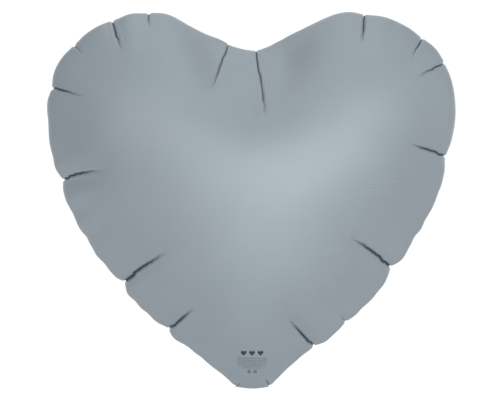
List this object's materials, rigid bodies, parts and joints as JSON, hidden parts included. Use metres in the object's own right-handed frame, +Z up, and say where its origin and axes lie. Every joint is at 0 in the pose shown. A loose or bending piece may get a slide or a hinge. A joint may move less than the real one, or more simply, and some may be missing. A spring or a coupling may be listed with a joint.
{
  "type": "foil balloon",
  "caption": "Heart-shaped metallised film balloon, full of gas, with a flat sealed seam, a film valve and a folding filling tail.",
  "frame": {"origin": "in the seam's plane, at the middle of the heart's bottom edge, where the tail folds and a ribbon is tied", "axes": "+X to the right across the lobes, +Y towards the back, +Z up from the tip to the lobes"},
  "size_m": [0.298, 0.15, 0.2735],
  "materials": {
    "metallised_film": "satin",
    "valve_film": "clear film",
    "release_coating": "matt",
    "printing_ink": "matt"
  },
  "bodies": {
    "balloon": {"front_panel": "metallised_film", "back_panel": "metallised_film", "valve_front_film": "valve_film", "valve_back_film": "valve_film", "valve_release_layer": "release_coating", "printed_block": "printing_ink"},
    "tail": {"tail_front_film": "metallised_film", "tail_back_film": "metallised_film", "tail_valve_front_film": "valve_film", "tail_valve_back_film": "valve_film"}
  },
  "joints": [
    {"name": "tail_fold", "type": "hinge", "parent": "balloon", "child": "tail", "pos_m": [0, 0, -0.0015], "axis": [1, 0, 0], "range_deg": [-125, 0]}
  ]
}
